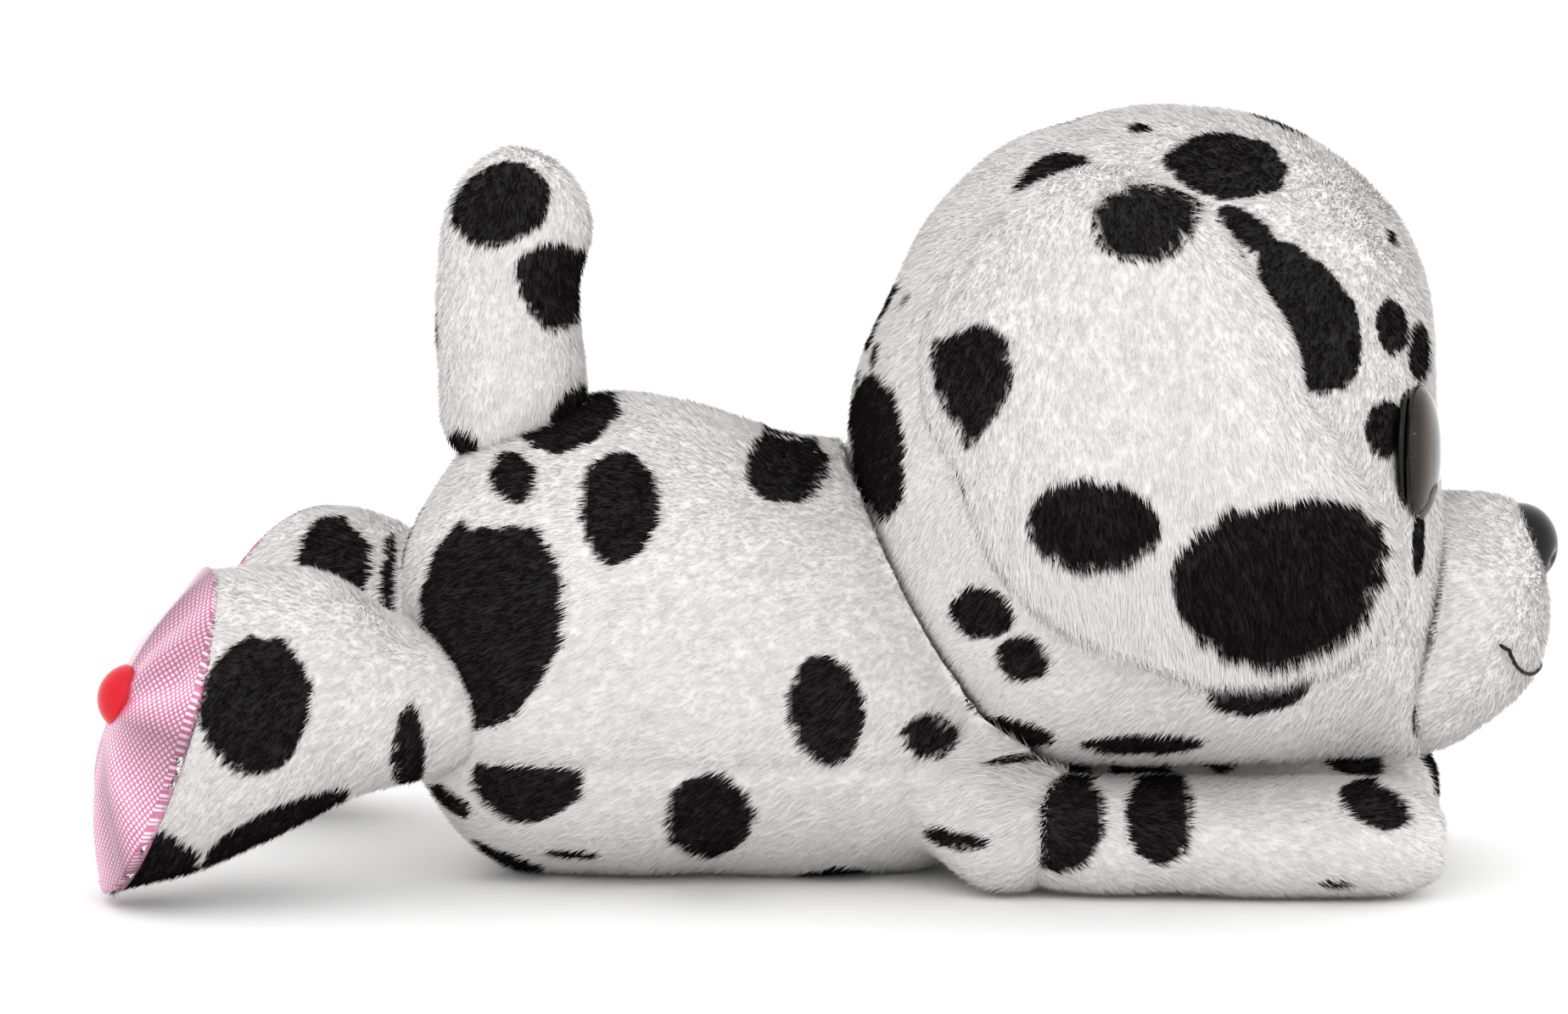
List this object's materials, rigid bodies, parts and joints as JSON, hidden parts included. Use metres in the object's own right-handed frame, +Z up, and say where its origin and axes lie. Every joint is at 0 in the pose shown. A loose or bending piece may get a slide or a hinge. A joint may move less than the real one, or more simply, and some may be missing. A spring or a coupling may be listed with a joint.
{
  "type": "plush dog",
  "caption": "Lying stuffed toy dog with spotted plush cloth, turning head, floppy ears, upright tail, splaying legs and domed rear soles.",
  "frame": {"origin": "on the flat of the belly, on the surface that the toy lies on, below the middle of its length", "axes": "+X from tail to nose, +Y to the dog's left, +Z up"},
  "size_m": [0.2462, 0.13, 0.1293],
  "materials": {
    "spotted_plush": "short white pile with printed black spots",
    "ear_lining": "short white pile",
    "fibre_fill": "loose white polyester fibre",
    "pouch_cloth": "plain woven lining",
    "pellets": "small round plastic pellets",
    "sole_foil": "pink cloth with a silver dot mesh",
    "stud_red": "glossy red",
    "black_gloss": "moulded glossy black",
    "iris_brown": "glossy dark brown",
    "clear_lens": "clear moulded dome",
    "washer_white": "moulded white",
    "thread_black": "black embroidery thread"
  },
  "bodies": {
    "torso": {"torso_left_panel": "spotted_plush", "torso_right_panel": "spotted_plush", "belly_panel": "spotted_plush", "torso_stuffing": "fibre_fill", "pellet_pouch": "pouch_cloth", "pellet_fill": "pellets"},
    "neck": {"neck_stuffing": "fibre_fill"},
    "head": {"head_back_panel": "spotted_plush", "crown_gusset": "spotted_plush", "face_left_panel": "spotted_plush", "face_right_panel": "spotted_plush", "head_stuffing": "fibre_fill", "muzzle_left_panel": "spotted_plush", "muzzle_right_panel": "spotted_plush", "muzzle_stuffing": "fibre_fill", "nose": "black_gloss", "nose_washer": "washer_white", "mouth_stitch": "thread_black", "eye_base_left": "black_gloss", "eye_iris_left": "iris_brown", "eye_lens_left": "clear_lens", "eye_washer_left": "washer_white", "eye_base_right": "black_gloss", "eye_iris_right": "iris_brown", "eye_lens_right": "clear_lens", "eye_washer_right": "washer_white"},
    "tail": {"tail_left_panel": "spotted_plush", "tail_right_panel": "spotted_plush", "tail_stuffing": "fibre_fill"},
    "ear_left": {"ear_inner_left": "ear_lining", "ear_outer_left": "spotted_plush"},
    "front_leg_left": {"front_leg_outer_left": "spotted_plush", "front_leg_inner_left": "spotted_plush", "front_leg_stuffing_left": "fibre_fill"},
    "rear_leg_left": {"rear_leg_outer_left": "spotted_plush", "rear_leg_inner_left": "spotted_plush", "rear_leg_stuffing_left": "fibre_fill", "rear_sole_left": "sole_foil", "sole_stud_left": "stud_red"},
    "ear_right": {"ear_inner_right": "ear_lining", "ear_outer_right": "spotted_plush"},
    "front_leg_right": {"front_leg_outer_right": "spotted_plush", "front_leg_inner_right": "spotted_plush", "front_leg_stuffing_right": "fibre_fill"},
    "rear_leg_right": {"rear_leg_outer_right": "spotted_plush", "rear_leg_inner_right": "spotted_plush", "rear_leg_stuffing_right": "fibre_fill", "rear_sole_right": "sole_foil", "sole_stud_right": "stud_red"}
  },
  "joints": [
    {"name": "head_turn", "type": "hinge", "parent": "torso", "child": "neck", "pos_m": [0.04, 0, 0.06], "axis": [0, 0, 1], "range_deg": [-15, 15], "stiffness_Nm_per_rad": 0.05},
    {"name": "head_nod", "type": "hinge", "parent": "neck", "child": "head", "pos_m": [0.04, 0, 0.06], "axis": [0, 1, 0], "range_deg": [-15, 0]},
    {"name": "tail_swing", "type": "hinge", "parent": "torso", "child": "tail", "pos_m": [-0.05, 0, 0.0792], "axis": [1, 0, 0], "range_deg": [-30, 30], "stiffness_Nm_per_rad": 0.03},
    {"name": "ear_lift_left", "type": "hinge", "parent": "head", "child": "ear_left", "pos_m": [0.045, 0.034, 0.1175], "axis": [1, 0, 0], "range_deg": [0, 80]},
    {"name": "front_leg_spread_left", "type": "hinge", "parent": "torso", "child": "front_leg_left", "pos_m": [0.045, 0.0255, 0.0104], "axis": [0, 0, 1], "range_deg": [-2, 25], "stiffness_Nm_per_rad": 0.02},
    {"name": "rear_leg_splay_left", "type": "hinge", "parent": "torso", "child": "rear_leg_left", "pos_m": [-0.057, 0.017, 0.0316], "axis": [0, 0, -1], "range_deg": [-43, 2], "stiffness_Nm_per_rad": 0.02},
    {"name": "ear_lift_right", "type": "hinge", "parent": "head", "child": "ear_right", "pos_m": [0.045, -0.034, 0.1175], "axis": [-1, 0, 0], "range_deg": [0, 80]},
    {"name": "front_leg_spread_right", "type": "hinge", "parent": "torso", "child": "front_leg_right", "pos_m": [0.041, -0.0255, 0.0104], "axis": [0, 0, -1], "range_deg": [-2, 25], "stiffness_Nm_per_rad": 0.02},
    {"name": "rear_leg_splay_right", "type": "hinge", "parent": "torso", "child": "rear_leg_right", "pos_m": [-0.057, -0.017, 0.0316], "axis": [0, 0, 1], "range_deg": [-10, 35], "stiffness_Nm_per_rad": 0.02}
  ]
}
